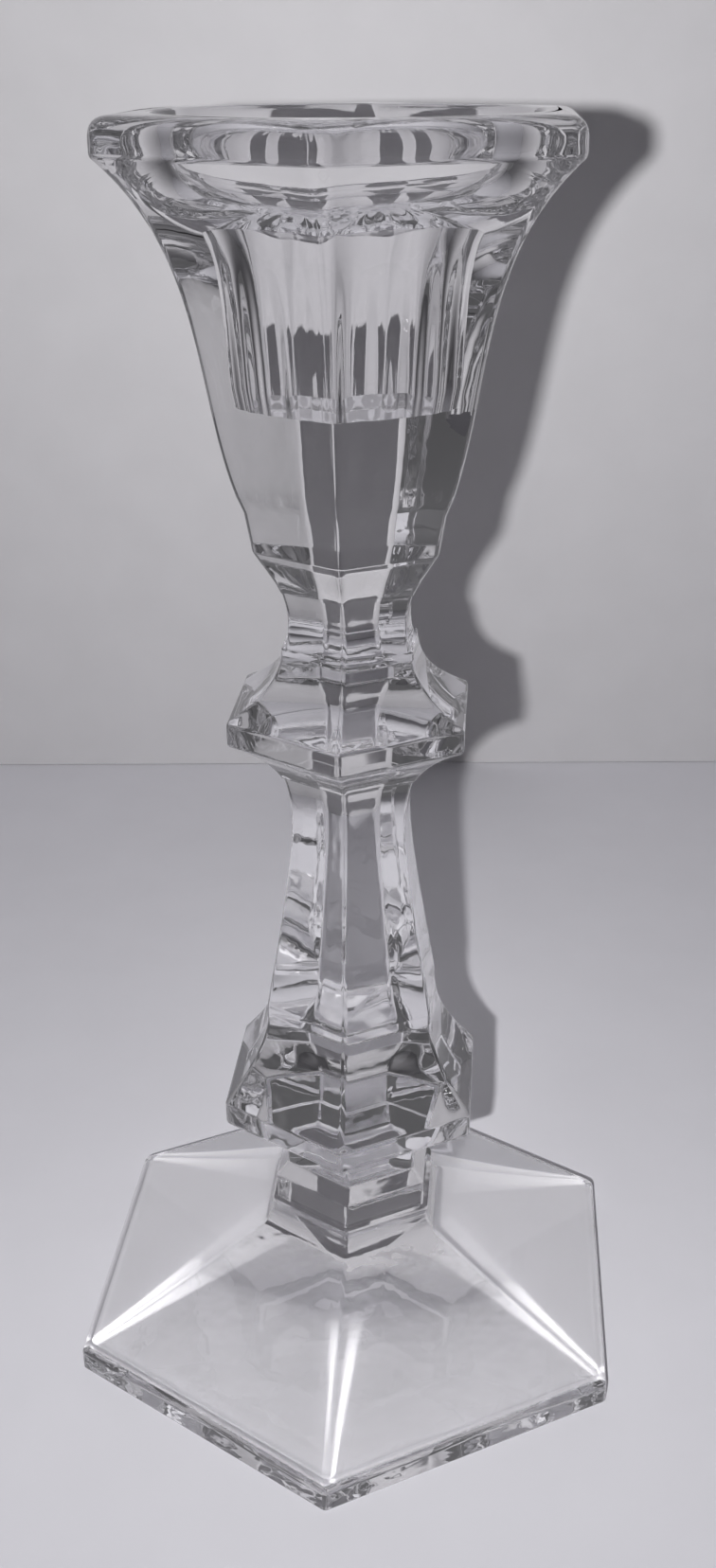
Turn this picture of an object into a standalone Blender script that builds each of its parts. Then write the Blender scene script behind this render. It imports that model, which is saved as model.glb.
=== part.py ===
"""Hexagonal crystal candlestick for one taper candle.

Seven clear glass sections are stacked on one upright axis: foot, plinth, lower knop,
stem, upper knop, neck and candle cup.  Each is a hexagon with a corner towards -Y.
Sizes are in millimetres and are turned into metres where vertices are made.
The origin is the centre of the foot's underside.
"""

import math

import bmesh
import bpy

MM = 0.001

# ---- driving dimensions (millimetres; a radius is centre to corner) -----------------

SIDES = 6
OVERALL_HEIGHT = 177.5
FOOT_RADIUS = 46.0
FOOT_EDGE_HEIGHT = 4.8
FOOT_RIM_BEVEL = 0.7
FOOT_HEEL_BEVEL = 0.4
FOOT_BROW = (15.4, 17.9)
FOOT_TOP_RADIUS = 13.9
RIM_RADIUS = 31.9
JOINT_GAP = 0.3

# heights of the planes where the sections meet
FOOT_JOINT = 21.85
PLINTH_JOINT = 35.1
LOWER_KNOP_JOINT = 57.0
STEM_JOINT = 93.5
UPPER_KNOP_JOINT = 112.0
NECK_JOINT = 119.85

PLINTH_RADIUS = 11.2
PLINTH_STEP_RADIUS = 13.1
PLINTH_STEP_HEIGHT = 5.2

LOWER_KNOP_RADIUS = 21.0
LOWER_KNOP_BAND = (38.6, 42.0)
STEM_FOOT_RADIUS = 13.8
STEM_WAIST_RADIUS = 9.3
STEM_WAIST_HEIGHT = 86.5
STEM_TOP_RADIUS = 10.4

UPPER_KNOP_RADIUS = 18.3
UPPER_KNOP_BAND = (99.6, 102.8)
UPPER_KNOP_TOP_RADIUS = 10.1
NECK_FOOT_RADIUS = 9.6
NECK_TOP_RADIUS = 9.9
NECK_WAIST_RADIUS = 9.1
NECK_WAIST_HEIGHT = 115.6

CUP_BAND = (125.8, 131.1)
CUP_BAND_RADII = (13.8, 14.8)
RIM_BAND_HEIGHT = 4.3
RIM_ROUNDING = 0.8

SOCKET_FLOOR = 144.3
SOCKET_MOUTH = 167.7
SOCKET_FLOOR_RADIUS = 11.2
SOCKET_TAPER = 0.8
SOCKET_FLARE = 1.4
SOCKET_FLUTES = 18
FLUTE_DEPTH = 0.6
DISH_RADIUS = 23.0

STEPS_PER_CURVE = 8
STEPS_PER_FLUTE = 6
SOCKET_LEVELS = 8
DISH_STEPS = 72
GLASS_IOR = 1.52


# ---- scene and collections ----------------------------------------------------------

def clear_scene():
    for obj in list(bpy.data.objects):
        bpy.data.objects.remove(obj, do_unlink=True)


def make_collection(name):
    collection = bpy.data.collections.new(name)
    bpy.context.scene.collection.children.link(collection)
    return collection


def link_mesh(mesh, name, collection):
    obj = bpy.data.objects.new(name, mesh)
    collection.objects.link(obj)
    return obj


# ---- outlines -----------------------------------------------------------------------

def bezier(start, handle_a, handle_b, end, steps=STEPS_PER_CURVE):
    """Points along a cubic curve, both ends included."""
    points = []
    for step in range(steps + 1):
        t = step / steps
        weights = ((1 - t) ** 3, 3 * t * (1 - t) ** 2, 3 * t * t * (1 - t), t ** 3)
        corners = (start, handle_a, handle_b, end)
        points.append(tuple(sum(w * c[axis] for w, c in zip(weights, corners)) for axis in (0, 1)))
    return points


def on_axis(outline):
    """Close an outline of (radius, height) points, listed top to bottom, onto the axis."""
    top = (0.0, outline[0][1])
    bottom = (0.0, outline[-1][1])
    return [top] + outline + [bottom]


def foot_outline():
    """Side of the foot: gently sloping panels that flare up steeply beside the plinth."""
    top = FOOT_JOINT - JOINT_GAP / 2
    flare = bezier((FOOT_TOP_RADIUS, top), (13.9, 19.9), (14.3, 18.6), FOOT_BROW, 5)
    panel = bezier(FOOT_BROW, (24.5, 13.2), (35.5, 8.4), (FOOT_RADIUS - FOOT_RIM_BEVEL, FOOT_EDGE_HEIGHT))
    edge = [
        (FOOT_RADIUS, FOOT_EDGE_HEIGHT - FOOT_RIM_BEVEL),
        (FOOT_RADIUS, FOOT_HEEL_BEVEL),
        (FOOT_RADIUS - FOOT_HEEL_BEVEL, 0.0),
    ]
    return flare + panel[1:] + edge


def plinth_outline():
    bottom = FOOT_JOINT + JOINT_GAP / 2
    step_top = bottom + PLINTH_STEP_HEIGHT
    setback = PLINTH_STEP_RADIUS - PLINTH_RADIUS
    return [
        (PLINTH_RADIUS, PLINTH_JOINT - JOINT_GAP / 2),
        (PLINTH_RADIUS, step_top + setback / 2),
        (PLINTH_STEP_RADIUS, step_top - setback / 2),
        (PLINTH_STEP_RADIUS, bottom),
    ]


def lower_knop_outline():
    top = LOWER_KNOP_JOINT - JOINT_GAP / 2
    bottom = PLINTH_JOINT + JOINT_GAP / 2
    band_low, band_high = LOWER_KNOP_BAND
    bell = bezier((STEM_FOOT_RADIUS, top), (13.6, 51.5), (16.4, 47.2), (LOWER_KNOP_RADIUS, band_high))
    underside = bezier((LOWER_KNOP_RADIUS, band_low), (17.5, 36.6), (15.0, 36.2), (12.0, bottom))
    return bell + underside


def stem_outline():
    top = STEM_JOINT - JOINT_GAP / 2
    bottom = LOWER_KNOP_JOINT + JOINT_GAP / 2
    waist = (STEM_WAIST_RADIUS, STEM_WAIST_HEIGHT)
    flare = bezier((STEM_TOP_RADIUS, top), (9.7, 92.0), (STEM_WAIST_RADIUS, 89.5), waist)
    taper = bezier(waist, (STEM_WAIST_RADIUS, 80.0), (11.4, 70.5), (STEM_FOOT_RADIUS, bottom))
    return flare + taper[1:]


def upper_knop_outline():
    top = UPPER_KNOP_JOINT - JOINT_GAP / 2
    bottom = STEM_JOINT + JOINT_GAP / 2
    band_low, band_high = UPPER_KNOP_BAND
    shoulder = bezier(
        (UPPER_KNOP_TOP_RADIUS, top), (10.6, 107.2), (13.4, 105.4), (UPPER_KNOP_RADIUS, band_high))
    underside = bezier(
        (UPPER_KNOP_RADIUS, band_low), (14.6, 97.9), (12.2, 95.8), (STEM_TOP_RADIUS + 0.3, bottom))
    return shoulder + underside


def neck_outline():
    top = NECK_JOINT - JOINT_GAP / 2
    bottom = UPPER_KNOP_JOINT + JOINT_GAP / 2
    waist = (NECK_WAIST_RADIUS, NECK_WAIST_HEIGHT)
    upper = bezier((NECK_TOP_RADIUS, top), (9.3, 118.0), (NECK_WAIST_RADIUS, 117.0), waist)
    lower = bezier(waist, (NECK_WAIST_RADIUS, 114.2), (9.2, 113.2), (NECK_FOOT_RADIUS, bottom))
    return upper + lower[1:]


def candle_cup_outline():
    bottom = NECK_JOINT + JOINT_GAP / 2
    band_low, band_high = CUP_BAND
    low_radius, high_radius = CUP_BAND_RADII
    rim_low = OVERALL_HEIGHT - RIM_BAND_HEIGHT
    flare = bezier((RIM_RADIUS, rim_low), (18.6, 162.5), (20.8, 147.3), (15.8, band_high + 2.2), 16)
    top_edge = bezier(
        (RIM_RADIUS - RIM_ROUNDING, OVERALL_HEIGHT), (RIM_RADIUS, OVERALL_HEIGHT),
        (RIM_RADIUS, OVERALL_HEIGHT), (RIM_RADIUS, OVERALL_HEIGHT - RIM_ROUNDING), 3)
    chamfer = bezier((low_radius, band_low), (12.0, 123.0), (10.9, 121.6), (NECK_TOP_RADIUS + 0.2, bottom), 4)
    return top_edge + flare + [(high_radius, band_high)] + chamfer


# ---- solids -------------------------------------------------------------------------

def turned(name, outline, steps, collection):
    """Turn an outline of (radius, height) points about Z, with its first corner at -Y."""
    mesh = bpy.data.meshes.new(name)
    vertices = [(radius * MM, 0.0, height * MM) for radius, height in outline]
    edges = [(index, index + 1) for index in range(len(vertices) - 1)]
    mesh.from_pydata(vertices, edges, [])
    obj = link_mesh(mesh, name, collection)
    obj.rotation_euler.z = -math.pi / 2
    screw = obj.modifiers.new("Turn", 'SCREW')
    screw.axis = 'Z'
    screw.angle = 2 * math.pi
    screw.steps = steps
    screw.render_steps = steps
    screw.use_merge_vertices = True
    screw.merge_threshold = 0.00001
    screw.use_smooth_shade = False
    return obj


def hexagonal_section(name, outline, collection):
    obj = turned(name, on_axis(outline), SIDES, collection)
    obj.data.materials.append(clear_glass(name))
    return obj


def mark_cutter(obj):
    obj.hide_render = True
    obj.display_type = 'WIRE'
    return obj


def cut_away(obj, cutter):
    modifier = obj.modifiers.new("Cut " + cutter.name, 'BOOLEAN')
    modifier.operation = 'DIFFERENCE'
    modifier.solver = 'EXACT'
    modifier.object = cutter


def socket_radius(rise):
    """Radius to the socket's ridges; rise runs from 0 at its floor to 1 at its mouth."""
    return SOCKET_FLOOR_RADIUS + SOCKET_TAPER * rise + SOCKET_FLARE * rise ** 6


def flute_depth(rise):
    """The flutes die away towards the mouth."""
    return FLUTE_DEPTH * (1 - rise ** 6)


def fluted_ring(rise):
    """One outline of the socket: a circle with a wave for each flute."""
    count = SOCKET_FLUTES * STEPS_PER_FLUTE
    ring = []
    for step in range(count):
        angle = 2 * math.pi * step / count
        wave = (1 - math.cos(SOCKET_FLUTES * angle)) / 2
        reach = socket_radius(rise) + flute_depth(rise) * wave
        ring.append((reach * math.cos(angle), reach * math.sin(angle)))
    return ring


def socket_cutter(cutters):
    """Fluted plug, flared at its top, that leaves the candle socket."""
    shape = bmesh.new()
    rings = []
    for level in range(SOCKET_LEVELS + 1):
        rise = (level / SOCKET_LEVELS) ** 0.6
        height = SOCKET_FLOOR + rise * (SOCKET_MOUTH - SOCKET_FLOOR)
        rings.append([shape.verts.new((x * MM, y * MM, height * MM)) for x, y in fluted_ring(rise)])
    top = OVERALL_HEIGHT * MM
    rings.append([shape.verts.new((vertex.co.x, vertex.co.y, top)) for vertex in rings[-1]])
    for lower, upper in zip(rings, rings[1:]):
        for index in range(len(lower)):
            following = (index + 1) % len(lower)
            shape.faces.new((lower[index], lower[following], upper[following], upper[index]))
    shape.faces.new(list(reversed(rings[0])))
    shape.faces.new(rings[-1])
    mesh = bpy.data.meshes.new("socket_cutter")
    shape.to_mesh(mesh)
    shape.free()
    return mark_cutter(link_mesh(mesh, "socket_cutter", cutters))


def dish_cutter(cutters):
    """Round shallow bowl above the socket, open at the rim."""
    above = OVERALL_HEIGHT + 1.0
    overlap = 0.4
    inner = (socket_radius(1.0) - overlap, SOCKET_MOUTH - overlap / 3)
    bowl = bezier((DISH_RADIUS, OVERALL_HEIGHT), (21.8, 171.5), (18.5, 169.2), inner)
    outline = [(0.0, above), (DISH_RADIUS + 0.2, above)] + bowl + [(0.0, inner[1])]
    return mark_cutter(turned("dish_cutter", outline, DISH_STEPS, cutters))


def clear_glass(name):
    material = bpy.data.materials.new(name + "_glass")
    material.use_nodes = True
    shader = material.node_tree.nodes["Principled BSDF"]
    shader.inputs["Base Color"].default_value = (0.93, 0.92, 0.95, 1.0)
    shader.inputs["Roughness"].default_value = 0.02
    shader.inputs["Metallic"].default_value = 0.0
    shader.inputs["IOR"].default_value = GLASS_IOR
    shader.inputs["Transmission Weight"].default_value = 1.0
    return material


# ---- sub-parts ----------------------------------------------------------------------

def make_foot(parts):
    return hexagonal_section("foot", foot_outline(), parts)


def make_plinth(parts):
    return hexagonal_section("plinth", plinth_outline(), parts)


def make_lower_knop(parts):
    return hexagonal_section("lower_knop", lower_knop_outline(), parts)


def make_stem(parts):
    return hexagonal_section("stem", stem_outline(), parts)


def make_upper_knop(parts):
    return hexagonal_section("upper_knop", upper_knop_outline(), parts)


def make_neck(parts):
    return hexagonal_section("neck", neck_outline(), parts)


def make_candle_cup(parts, cutters):
    cup = hexagonal_section("candle_cup", candle_cup_outline(), parts)
    cut_away(cup, dish_cutter(cutters))
    cut_away(cup, socket_cutter(cutters))
    return cup


def build():
    clear_scene()
    parts = make_collection("glass_candlestick")
    cutters = make_collection("cutters")
    axis = bpy.data.objects.new("candlestick_axis", None)
    parts.objects.link(axis)
    sections = [
        make_foot(parts),
        make_plinth(parts),
        make_lower_knop(parts),
        make_stem(parts),
        make_upper_knop(parts),
        make_neck(parts),
        make_candle_cup(parts, cutters),
    ]
    for section in sections:
        section.parent = axis


build()
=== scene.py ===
"""Hexagonal crystal candlestick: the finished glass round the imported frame.

Every section of the stack is rebuilt as smooth pressed glass with softened corners, on
the same outline as its solid in the frame.  Radii run from the axis to a corner.
"""

import math

import bmesh
import bpy
import numpy as np
from mathutils import Euler, Matrix, Vector


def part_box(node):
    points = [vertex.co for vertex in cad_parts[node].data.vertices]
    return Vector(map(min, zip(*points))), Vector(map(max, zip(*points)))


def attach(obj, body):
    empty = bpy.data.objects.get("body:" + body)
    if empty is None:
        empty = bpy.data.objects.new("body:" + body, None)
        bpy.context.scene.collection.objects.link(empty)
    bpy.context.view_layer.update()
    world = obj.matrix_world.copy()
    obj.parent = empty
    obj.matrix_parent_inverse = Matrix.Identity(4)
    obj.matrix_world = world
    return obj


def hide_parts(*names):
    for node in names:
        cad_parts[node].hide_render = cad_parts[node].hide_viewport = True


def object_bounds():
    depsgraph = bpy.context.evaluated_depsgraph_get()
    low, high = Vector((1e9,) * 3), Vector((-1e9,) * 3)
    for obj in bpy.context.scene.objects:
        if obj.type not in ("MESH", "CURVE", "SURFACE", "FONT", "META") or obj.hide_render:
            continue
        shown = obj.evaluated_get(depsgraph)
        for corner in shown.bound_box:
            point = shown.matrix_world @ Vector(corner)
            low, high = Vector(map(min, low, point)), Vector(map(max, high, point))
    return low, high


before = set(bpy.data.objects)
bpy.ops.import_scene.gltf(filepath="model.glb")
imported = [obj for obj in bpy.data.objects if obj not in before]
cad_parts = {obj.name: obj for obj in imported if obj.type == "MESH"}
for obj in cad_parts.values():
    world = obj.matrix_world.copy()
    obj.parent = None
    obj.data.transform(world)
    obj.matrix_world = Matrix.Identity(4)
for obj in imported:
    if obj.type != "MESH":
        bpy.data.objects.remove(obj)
cad_low, cad_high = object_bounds()

MM = 0.001
SIDES = 6
HALF_SIDE = math.pi / SIDES
COS_HALF = math.cos(HALF_SIDE)
FRONT = -math.pi / 2

# points round each ring: an arc at every corner and a divided side between them
ARC_STEPS = 8
SIDE_STEPS = 16
RING_POINTS = SIDES * (ARC_STEPS + SIDE_STEPS)
CURVE_STEPS = 22
FILLET_STEPS = 4

FLUTES = 18
GLASS_IOR = 1.52
FOOT_SOFTNESS = 0.9
KEY_POSITION = (0.0027, -0.224, 0.185)


# ---- outlines: lists of (radius, height) in millimetres, top to bottom ---------------

def span(node):
    """Bottom and top of a section in millimetres, run out to the middle of its joints."""
    low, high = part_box(node)
    half_gap = 0.15
    bottom = low.z / MM
    top = high.z / MM
    if bottom > half_gap:
        bottom -= half_gap
    if top < cad_high.z / MM - half_gap:
        top += half_gap
    return bottom, top


def corner_radius_of(node):
    """Largest corner radius of a section, from the width of its box across the corners."""
    low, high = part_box(node)
    return (high.y - low.y) / 2 / MM


def bezier(start, handle_a, handle_b, end, steps=CURVE_STEPS):
    points = []
    for step in range(steps + 1):
        t = step / steps
        weights = ((1 - t) ** 3, 3 * t * (1 - t) ** 2, 3 * t * t * (1 - t), t ** 3)
        corners = (start, handle_a, handle_b, end)
        points.append(tuple(sum(w * c[axis] for w, c in zip(weights, corners)) for axis in (0, 1)))
    return points


def toward(start, end, distance):
    """Point at a distance from start on the way to end, never past the middle."""
    length = math.dist(start, end)
    share = min(distance / length, 0.5)
    return tuple(a + (b - a) * share for a, b in zip(start, end))


def filleted(outline, radius, crisp=math.radians(14)):
    """Round the crisp corners of an outline by about a radius."""
    result = [outline[0]]
    for before, corner, after in zip(outline, outline[1:], outline[2:]):
        heading_in = math.atan2(corner[1] - before[1], corner[0] - before[0])
        heading_out = math.atan2(after[1] - corner[1], after[0] - corner[0])
        turn = abs((heading_out - heading_in + math.pi) % (2 * math.pi) - math.pi)
        if turn < crisp:
            result.append(corner)
            continue
        reach = radius * math.tan(min(turn, 2.6) / 2)
        first = toward(corner, before, reach)
        last = toward(corner, after, reach)
        for step in range(FILLET_STEPS + 1):
            t = step / FILLET_STEPS
            result.append(tuple(
                (1 - t) ** 2 * f + 2 * t * (1 - t) * c + t * t * l
                for f, c, l in zip(first, corner, last)))
    result.append(outline[-1])
    return result


def foot_outline():
    bottom, top = span("foot")
    radius = corner_radius_of("foot")
    edge_height, edge, heel = 4.8, 1.6, 0.45
    brow = (15.4, 17.9)
    flare = bezier((13.9, top), (13.9, 19.9), (14.3, 18.6), brow)
    panel = bezier(brow, (24.5, 13.2), (35.5, 8.4), (radius - edge, edge_height), 2 * CURVE_STEPS)
    shoulder = (radius - edge * 0.45, edge_height), (radius, edge_height - edge * 0.55)
    rim = bezier(panel[-1], *shoulder, (radius, edge_height - edge), 10)
    return flare + panel[1:] + rim[1:] + [(radius, heel), (radius - heel, bottom)]


def plinth_outline():
    bottom, top = span("plinth")
    radius, setback, step_height = 13.1, 1.9, 5.2
    step_top = bottom + step_height
    return [
        (radius - setback, top),
        (radius - setback, step_top + setback / 2),
        (radius, step_top - setback / 2),
        (radius, bottom),
    ]


def lower_knop_outline():
    bottom, top = span("lower_knop")
    radius, band_low, band_high = 21.0, 38.6, 42.0
    bell = bezier((13.8, top), (13.6, 51.5), (16.4, 47.2), (radius, band_high))
    underside = bezier((radius, band_low), (17.5, 36.6), (15.0, 36.2), (12.0, bottom))
    return bell + underside


def stem_outline():
    bottom, top = span("stem")
    waist = (9.3, 86.5)
    flare = bezier((10.4, top), (9.7, 92.0), (waist[0], 89.5), waist)
    taper = bezier(waist, (waist[0], 80.0), (11.4, 70.5), (13.8, bottom))
    return flare + taper[1:]


def upper_knop_outline():
    bottom, top = span("upper_knop")
    radius, band_low, band_high = 18.3, 99.6, 102.8
    shoulder = bezier((10.1, top), (10.6, 107.2), (13.4, 105.4), (radius, band_high))
    underside = bezier((radius, band_low), (14.6, 97.9), (12.2, 95.8), (10.7, bottom))
    return shoulder + underside


def neck_outline():
    bottom, top = span("neck")
    waist = (9.1, 115.6)
    upper = bezier((9.9, top), (9.3, 118.0), (waist[0], 117.0), waist)
    lower = bezier(waist, (waist[0], 114.2), (9.2, 113.2), (9.6, bottom))
    return upper + lower[1:]


def cup_outline():
    bottom, top = span("candle_cup")
    rim = corner_radius_of("candle_cup")
    flare = bezier((rim, top - 4.3), (18.6, 162.5), (20.8, 147.3), (15.8, 133.3), 2 * CURVE_STEPS)
    chamfer = bezier((13.8, 125.8), (12.0, 123.0), (10.9, 121.6), (10.1, bottom))
    return [(rim, top)] + flare + [(14.8, 131.1)] + chamfer


# ---- rings and lofts ----------------------------------------------------------------

def meet(angle_a, distance_a, angle_b, distance_b):
    """Point where two lines cross, each given by its normal's angle and its distance."""
    normals = Matrix(((math.cos(angle_a), math.sin(angle_a)), (math.cos(angle_b), math.sin(angle_b))))
    return normals.inverted() @ Vector((distance_a, distance_b))


def hexagon_ring(radius, height, softness):
    """Ring of a hexagon whose corners are rounded to the radius softness."""
    side = radius * COS_HALF
    points = []
    for corner in range(SIDES):
        angle = FRONT + corner * 2 * HALF_SIDE
        centre = meet(angle - HALF_SIDE, side - softness, angle + HALF_SIDE, side - softness)
        for step in range(ARC_STEPS + 1):
            around = angle - HALF_SIDE + 2 * HALF_SIDE * step / ARC_STEPS
            points.append(centre + softness * Vector((math.cos(around), math.sin(around))))
        here = points[-1]
        across = Vector((-math.sin(angle + HALF_SIDE), math.cos(angle + HALF_SIDE)))
        flat = 2 * (side - softness) * math.tan(HALF_SIDE)
        for step in range(1, SIDE_STEPS):
            points.append(here + across * flat * step / SIDE_STEPS)
    return [Vector((point.x, point.y, height)) * MM for point in points]


def round_ring(radius, height, flute=0.0):
    """Round ring, with a wave of the flute's depth for each flute."""
    points = []
    for index in range(RING_POINTS):
        turn = 2 * math.pi * index / RING_POINTS
        reach = radius + flute * (1 - math.cos(FLUTES * turn)) / 2
        angle = FRONT - HALF_SIDE + turn
        points.append(Vector((reach * math.cos(angle), reach * math.sin(angle), height)) * MM)
    return points


def loft(name, rings, cap_slots=(0, 0)):
    """Closed body through rings listed from one end to the other, with a flat cap at each end."""
    shape = bmesh.new()
    levels = [[shape.verts.new(point) for point in ring] for ring in rings]
    for upper, lower in zip(levels, levels[1:]):
        for index in range(len(upper)):
            following = (index + 1) % len(upper)
            quad = (upper[index], lower[index], lower[following], upper[following])
            shape.faces.new(quad).smooth = True
    first_cap = shape.faces.new(levels[0])
    last_cap = shape.faces.new(list(reversed(levels[-1])))
    first_cap.smooth = last_cap.smooth = True
    first_cap.material_index, last_cap.material_index = cap_slots
    bmesh.ops.remove_doubles(shape, verts=shape.verts, dist=0.002 * MM)
    bmesh.ops.dissolve_degenerate(shape, edges=shape.edges, dist=0.002 * MM)
    bmesh.ops.recalc_face_normals(shape, faces=shape.faces)
    mesh = bpy.data.meshes.new(name)
    shape.to_mesh(mesh)
    shape.free()
    mesh.set_sharp_from_angle(angle=math.radians(32))
    obj = bpy.data.objects.new(name, mesh)
    bpy.context.scene.collection.objects.link(obj)
    return obj


# ---- materials ----------------------------------------------------------------------

def new_material(name):
    material = bpy.data.materials.new(name)
    material.use_nodes = True
    return material, material.node_tree.nodes, material.node_tree.links


def noise_texture(nodes, links, coordinates, scale, detail=2.0):
    texture = nodes.new("ShaderNodeTexNoise")
    texture.inputs["Scale"].default_value = scale
    texture.inputs["Detail"].default_value = detail
    links.new(coordinates, texture.inputs["Vector"])
    return texture.outputs["Fac"]


def pressed_glass():
    """Clear pressed crystal: faint lilac, with the shallow waves a mould leaves."""
    material, nodes, links = new_material("pressed_glass")
    shader = nodes["Principled BSDF"]
    shader.inputs["Base Color"].default_value = (0.985, 0.982, 0.992, 1.0)
    shader.inputs["Transmission Weight"].default_value = 1.0
    shader.inputs["IOR"].default_value = GLASS_IOR
    shader.inputs["Roughness"].default_value = 0.0
    coordinates = nodes.new("ShaderNodeTexCoord").outputs["Object"]
    waves = noise_texture(nodes, links, coordinates, 160.0)
    bump = nodes.new("ShaderNodeBump")
    bump.inputs["Strength"].default_value = 0.2
    bump.inputs["Distance"].default_value = 0.3 * MM
    links.new(waves, bump.inputs["Height"])
    links.new(bump.outputs["Normal"], shader.inputs["Normal"])
    return material


def bonded_face():
    """The joint between two sections: the same glass on both sides, so it can't be seen."""
    material, nodes, links = new_material("bonded_face")
    nodes.remove(nodes["Principled BSDF"])
    clear = nodes.new("ShaderNodeBsdfTransparent")
    links.new(clear.outputs["BSDF"], nodes["Material Output"].inputs["Surface"])
    return material


def matt_surface(name, colour, mottle, painted_caustic_glow=0.0, one_sided=False):
    """Matt pale surface with a faint mottle; a one-sided one is clear from behind; given a strength, it
    glows with painted light read from a point attribute.
    """
    material, nodes, links = new_material(name)
    shader = nodes["Principled BSDF"]
    shader.inputs["Roughness"].default_value = 0.6
    coordinates = nodes.new("ShaderNodeTexCoord").outputs["Object"]
    grain = noise_texture(nodes, links, coordinates, 60.0, 4.0)
    ramp = nodes.new("ShaderNodeMix")
    ramp.data_type = 'RGBA'
    ramp.inputs["A"].default_value = (*[c * (1 - mottle) for c in colour], 1.0)
    ramp.inputs["B"].default_value = (*[min(c * (1 + mottle), 1.0) for c in colour], 1.0)
    links.new(grain, ramp.inputs["Factor"])
    links.new(ramp.outputs["Result"], shader.inputs["Base Color"])
    if painted_caustic_glow:
        # painted light: the surface glows by a point attribute, standing for light the glass bends onto
        # it
        attribute = nodes.new("ShaderNodeAttribute")
        attribute.attribute_name = "painted_caustic_glow"
        strength = nodes.new("ShaderNodeMath")
        strength.operation = 'MULTIPLY'
        strength.inputs[1].default_value = painted_caustic_glow
        links.new(attribute.outputs["Fac"], strength.inputs[0])
        links.new(strength.outputs["Value"], shader.inputs["Emission Strength"])
        shader.inputs["Emission Color"].default_value = (1.0, 0.99, 1.0, 1.0)
        material.cycles.emission_sampling = 'NONE'
    if one_sided:
        mix = nodes.new("ShaderNodeMixShader")
        clear = nodes.new("ShaderNodeBsdfTransparent")
        facing = nodes.new("ShaderNodeNewGeometry")
        links.new(facing.outputs["Backfacing"], mix.inputs["Fac"])
        links.new(shader.outputs["BSDF"], mix.inputs[1])
        links.new(clear.outputs["BSDF"], mix.inputs[2])
        links.new(mix.outputs["Shader"], nodes["Material Output"].inputs["Surface"])
    return material


# ---- the candlestick ----------------------------------------------------------------

GLASS = pressed_glass()
BOND = bonded_face()
OUTER_FACE, JOINT_FACE = 0, 1


def finish_piece(obj, node):
    obj.data.materials.append(GLASS)
    obj.data.materials.append(BOND)
    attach(obj, "root")
    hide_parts(node)
    return obj


def section(node, outline, softness, fillet, caps):
    """Solid hexagonal section of glass on an outline, top to bottom."""
    rings = [hexagon_ring(radius, height, softness) for radius, height in filleted(outline, fillet)]
    return finish_piece(loft("glass_" + node, rings, caps), node)


def candle_cup():
    """Flared cup: outside, rim, drip dish and fluted candle socket in one skin."""
    node = "candle_cup"
    bottom, top = span(node)
    rim = corner_radius_of(node)
    edge = 1.7
    lip_end = (rim, top - 1.6 * edge)
    lip = bezier((rim - 2 * edge, top), (rim - edge / 2, top), (rim, top - edge / 2), lip_end, 8)
    below_lip = [point for point in filleted(cup_outline(), 0.9) if point[1] < top - 1.7 * edge]
    low_softness, added_at_rim, flare_start = 1.4, 2.4, 16
    outer_rings = []
    for radius, height in lip + below_lip:
        flared = max(0.0, (radius - flare_start) / (rim - flare_start))
        outer_rings.append(hexagon_ring(radius, height, low_softness + added_at_rim * flared ** 2))

    socket_floor, socket_mouth = 144.3, 167.7
    floor_radius, taper, flare, flute = 11.2, 0.8, 1.4, 0.6
    mouth_radius = floor_radius + taper + flare
    dish_radius = 23.0
    bowl = bezier((dish_radius, top), (21.8, 171.5), (18.5, 169.2), (mouth_radius, socket_mouth))
    bowl = filleted([(dish_radius + 2, top)] + bowl, 1.0)
    bowl_rings = [round_ring(radius, height) for radius, height in bowl]
    well_rings = [
        round_ring(floor_radius - 1.0, socket_floor),
        round_ring(floor_radius - 0.35, socket_floor + 0.05, flute),
    ]
    for level in range(1, CURVE_STEPS):
        rise = (level / CURVE_STEPS) ** 0.7
        height = socket_floor + rise * (socket_mouth - socket_floor)
        radius = floor_radius + taper * rise + flare * rise ** 6
        well_rings.append(round_ring(radius, height, flute * (1 - rise ** 2) ** 1.5))
    rings = well_rings + list(reversed(bowl_rings)) + outer_rings
    return finish_piece(loft("glass_" + node, rings, (OUTER_FACE, JOINT_FACE)), node)


section("foot", foot_outline(), FOOT_SOFTNESS, 0.35, (JOINT_FACE, OUTER_FACE))
section("plinth", plinth_outline(), 0.9, 0.6, (JOINT_FACE, JOINT_FACE))
section("lower_knop", lower_knop_outline(), 1.1, 0.7, (JOINT_FACE, JOINT_FACE))
section("stem", stem_outline(), 1.0, 0.4, (JOINT_FACE, JOINT_FACE))
section("upper_knop", upper_knop_outline(), 1.0, 0.7, (JOINT_FACE, JOINT_FACE))
section("neck", neck_outline(), 1.0, 0.4, (JOINT_FACE, JOINT_FACE))
candle_cup()


# ---- painted light: what the foot would bend onto the surface below it --------------

BODY_HEIGHTS = (22, 35, 36.5, 39, 42, 47, 57, 80, 93, 98, 101, 104, 111, 120, 130, 150, 165, 177)
BODY_RADII = (13, 11.2, 15, 21, 21, 16.4, 13.8, 9.8, 10.2, 14, 18.3, 14, 10, 10, 14.5, 17, 21, 31)
THROUGH_STACK = 0.4
PAINTED_BAND_LEVEL = 0.95
PAINTED_BAND_GAIN = 1.2


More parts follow.
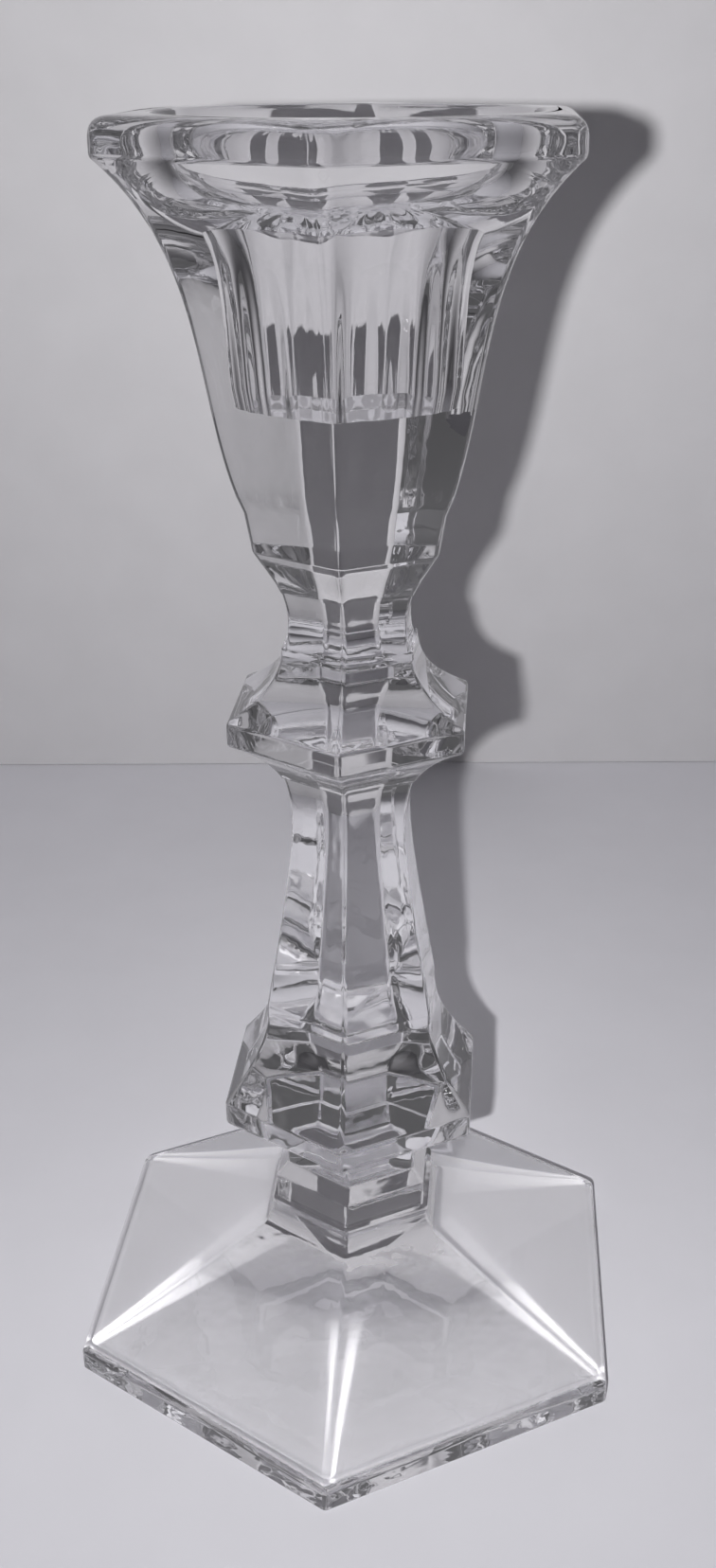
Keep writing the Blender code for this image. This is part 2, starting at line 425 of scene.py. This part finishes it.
def foot_heights(x, y):
    """Height of the foot's upper surface over every point, and which points lie on it."""
    rim_bottom = 3.2
    outline = np.array([point for point in foot_outline() if point[1] > rim_bottom])
    radius = np.hypot(x, y)
    angle = (np.arctan2(x, -y) + HALF_SIDE) % (2 * HALF_SIDE) - HALF_SIDE
    along = radius * np.cos(angle)
    aside = np.abs(radius * np.sin(angle))
    bulge = np.sqrt(np.maximum(FOOT_SOFTNESS ** 2 - aside ** 2, 0))
    rounded = FOOT_SOFTNESS + COS_HALF * (along - bulge)
    flat = along * COS_HALF + aside / 2
    corner = np.where(aside < FOOT_SOFTNESS / 2, rounded, flat) / COS_HALF
    on_foot = (corner > outline[0, 0]) & (corner < outline[-1, 0])
    return np.interp(corner, outline[:, 0], outline[:, 1]), on_foot


def reflected_share(cosine):
    normal_share = ((GLASS_IOR - 1) / (GLASS_IOR + 1)) ** 2
    return normal_share + (1 - normal_share) * (1 - np.clip(cosine, 0, 1)) ** 5


def light_below_foot(cells, cell):
    """Light on a square grid under the foot, against what would fall there with no glass.

    Rays from the key light are bent once, at the foot's upper surface, and followed to the
    floor.  Reflections inside the glass are left out.
    """
    step = 0.08
    line = np.arange(-46.5, 46.5, step)
    x, y = np.meshgrid(line, line)
    z, on_foot = foot_heights(x, y)
    slope_y, slope_x = np.gradient(z, step)
    normal = np.stack([-slope_x, -slope_y, np.ones_like(z)], -1)
    normal /= np.linalg.norm(normal, axis=-1, keepdims=True)
    light = np.array(KEY_POSITION) / MM
    ray = np.stack([x, y, z], -1) - light
    distance = np.linalg.norm(ray, axis=-1)
    ray /= distance[..., None]
    facing = -(ray * normal).sum(-1)
    bend = np.sqrt(1 - (1 - facing ** 2) / GLASS_IOR ** 2)
    inside = ray / GLASS_IOR + (facing / GLASS_IOR - bend)[..., None] * normal
    drop = -inside[..., 2]
    floor_x = x + inside[..., 0] / drop * z
    floor_y = y + inside[..., 1] / drop * z
    leaving = 1 - (1 - drop ** 2) * GLASS_IOR ** 2
    passed = (1 - reflected_share(facing)) * (1 - reflected_share(np.sqrt(np.maximum(leaving, 0))))
    unblocked = light[2] / ((floor_x - light[0]) ** 2 + (floor_y - light[1]) ** 2 + light[2] ** 2) ** 1.5
    share = facing / normal[..., 2] / distance ** 2 * passed / unblocked
    share *= on_foot & (facing > 0) & (leaving > 0)
    # the stack above dims what lies straight behind it; how much is an estimate
    way = -light[1] / (y - light[1])
    crossing = np.abs(light[0] + (x - light[0]) * way)
    body = np.interp(light[2] + (z - light[2]) * way, BODY_HEIGHTS, BODY_RADII)
    share[(y > 0) & (crossing < body)] *= THROUGH_STACK

    grid = np.zeros((cells, cells))
    column, column_part = np.divmod(floor_x / cell + cells / 2, 1)
    row, row_part = np.divmod(floor_y / cell + cells / 2, 1)
    lit = (share > 0) & (column >= 0) & (column < cells - 1) & (row >= 0) & (row < cells - 1)
    for right in (0, 1):
        for up in (0, 1):
            part = column_part if right else 1 - column_part
            part = part * (row_part if up else 1 - row_part)
            places = row[lit].astype(int) + up, column[lit].astype(int) + right
            np.add.at(grid, places, (share * part)[lit])
    light = grid * (step / cell) ** 2
    # the result is painted onto the floor as glow; the bright bands in it are painted highlights
    # the bright bands are made stronger than calculated
    return light + PAINTED_BAND_GAIN * np.maximum(light - PAINTED_BAND_LEVEL, 0)


# ---- stage, camera and light --------------------------------------------------------

def stage_plane(name, size, location, rotation, material):
    bpy.ops.mesh.primitive_plane_add(size=size, location=location, rotation=rotation)
    plane = bpy.context.active_object
    plane.name = name
    plane.data.materials.append(material)
    return plane


VIEW_TURN = math.radians(5.19)
BACKDROP_DISTANCE = 0.206
FLOOR_CLEARANCE = 0.2 * MM
SHEET = 3.0
PATCH_MIDDLE = 20.0
# strength of the painted light that stands for the caustics under the foot
PAINTED_CAUSTIC_STRENGTH = 0.28  # set
FLOOR_MATT = matt_surface("floor_matt", (0.80, 0.79, 0.84), 0.03, painted_caustic_glow=PAINTED_CAUSTIC_STRENGTH)

stage_plane("floor", SHEET, (0, 0, -FLOOR_CLEARANCE), (0, 0, 0), FLOOR_MATT)


def trim_to_foot(mesh, places):
    """Keep the part of the patch that the foot covers."""
    x, y = places[0::3] / MM, places[1::3] / MM
    covered = foot_heights(x, y)[1] | (np.hypot(x, y) < PATCH_MIDDLE)
    shape = bmesh.new()
    shape.from_mesh(mesh)
    loose = [vertex for vertex, keep in zip(shape.verts, covered) if not keep]
    bmesh.ops.delete(shape, geom=loose, context='VERTS')
    shape.to_mesh(mesh)
    shape.free()


def painted_caustic_patch(cells=240, cell=0.4):
    """Fine grid of floor under the foot that glows with painted light where the glass would bend the key
    light.
    """
    bpy.ops.mesh.primitive_grid_add(
        x_subdivisions=cells - 1, y_subdivisions=cells - 1, size=(cells - 1) * cell * MM,
        location=(0, 0, -FLOOR_CLEARANCE / 2))
    patch = bpy.context.active_object
    patch.name = "painted_caustic_floor"
    light = light_below_foot(cells, cell)
    places = np.zeros(len(patch.data.vertices) * 3)
    patch.data.vertices.foreach_get("co", places)
    column = np.rint(places[0::3] / MM / cell + (cells - 1) / 2).astype(int)
    row = np.rint(places[1::3] / MM / cell + (cells - 1) / 2).astype(int)
    # painted light: the glow each point gives off, stored on the floor grid
    painted_caustic_glow = patch.data.attributes.new("painted_caustic_glow", 'FLOAT', 'POINT')
    painted_caustic_glow.data.foreach_set("value", light[row, column])
    trim_to_foot(patch.data, places)
    patch.data.materials.append(FLOOR_MATT)
    return patch


painted_caustic_patch()
away = Vector((-math.sin(VIEW_TURN), math.cos(VIEW_TURN), 0))
stage_plane("backdrop", SHEET, away * BACKDROP_DISTANCE + Vector((0, 0, SHEET / 2)),
            (math.radians(90), 0, VIEW_TURN),
            matt_surface("backdrop_matt", (0.50, 0.49, 0.51), 0.05, one_sided=True))

camera_data = bpy.data.cameras.new("camera")
camera_data.lens = 35.79
camera = bpy.data.objects.new("camera", camera_data)
camera.location = (0.01887, -0.19750, 0.18382)
tilt = Euler((math.radians(64.775), 0, 0)).to_matrix()
roll = Euler((0, 0, math.radians(-0.266))).to_matrix()
camera.rotation_euler = (Euler((0, 0, VIEW_TURN)).to_matrix() @ tilt @ roll).to_euler()
bpy.context.scene.collection.objects.link(camera)
bpy.context.scene.camera = camera
camera_data.clip_start = 0.01


def lamp(name, size, power, location, target):
    data = bpy.data.lights.new(name, 'AREA')
    data.shape = 'DISK'
    data.size = size
    data.energy = power
    obj = bpy.data.objects.new(name, data)
    obj.location = location
    obj.rotation_euler = (Vector(target) - Vector(location)).to_track_quat('-Z', 'Y').to_euler()
    bpy.context.scene.collection.objects.link(obj)
    return obj


lamp("key", 0.005, 1.7, KEY_POSITION, (0, 0, 0.285))
world = bpy.data.worlds.new("studio")
world.use_nodes = True
world.node_tree.nodes["Background"].inputs["Color"].default_value = (0.97, 0.96, 1.0, 1.0)
world.node_tree.nodes["Background"].inputs["Strength"].default_value = 0.08
bpy.context.scene.world = world
cycles = bpy.context.scene.cycles
cycles.max_bounces = 32
cycles.transmission_bounces = 32
cycles.transparent_max_bounces = 32
cycles.glossy_bounces = 16
cycles.caustics_refractive = True
cycles.caustics_reflective = True
cycles.use_guiding = True
bpy.context.scene.view_settings.view_transform = 'Standard'
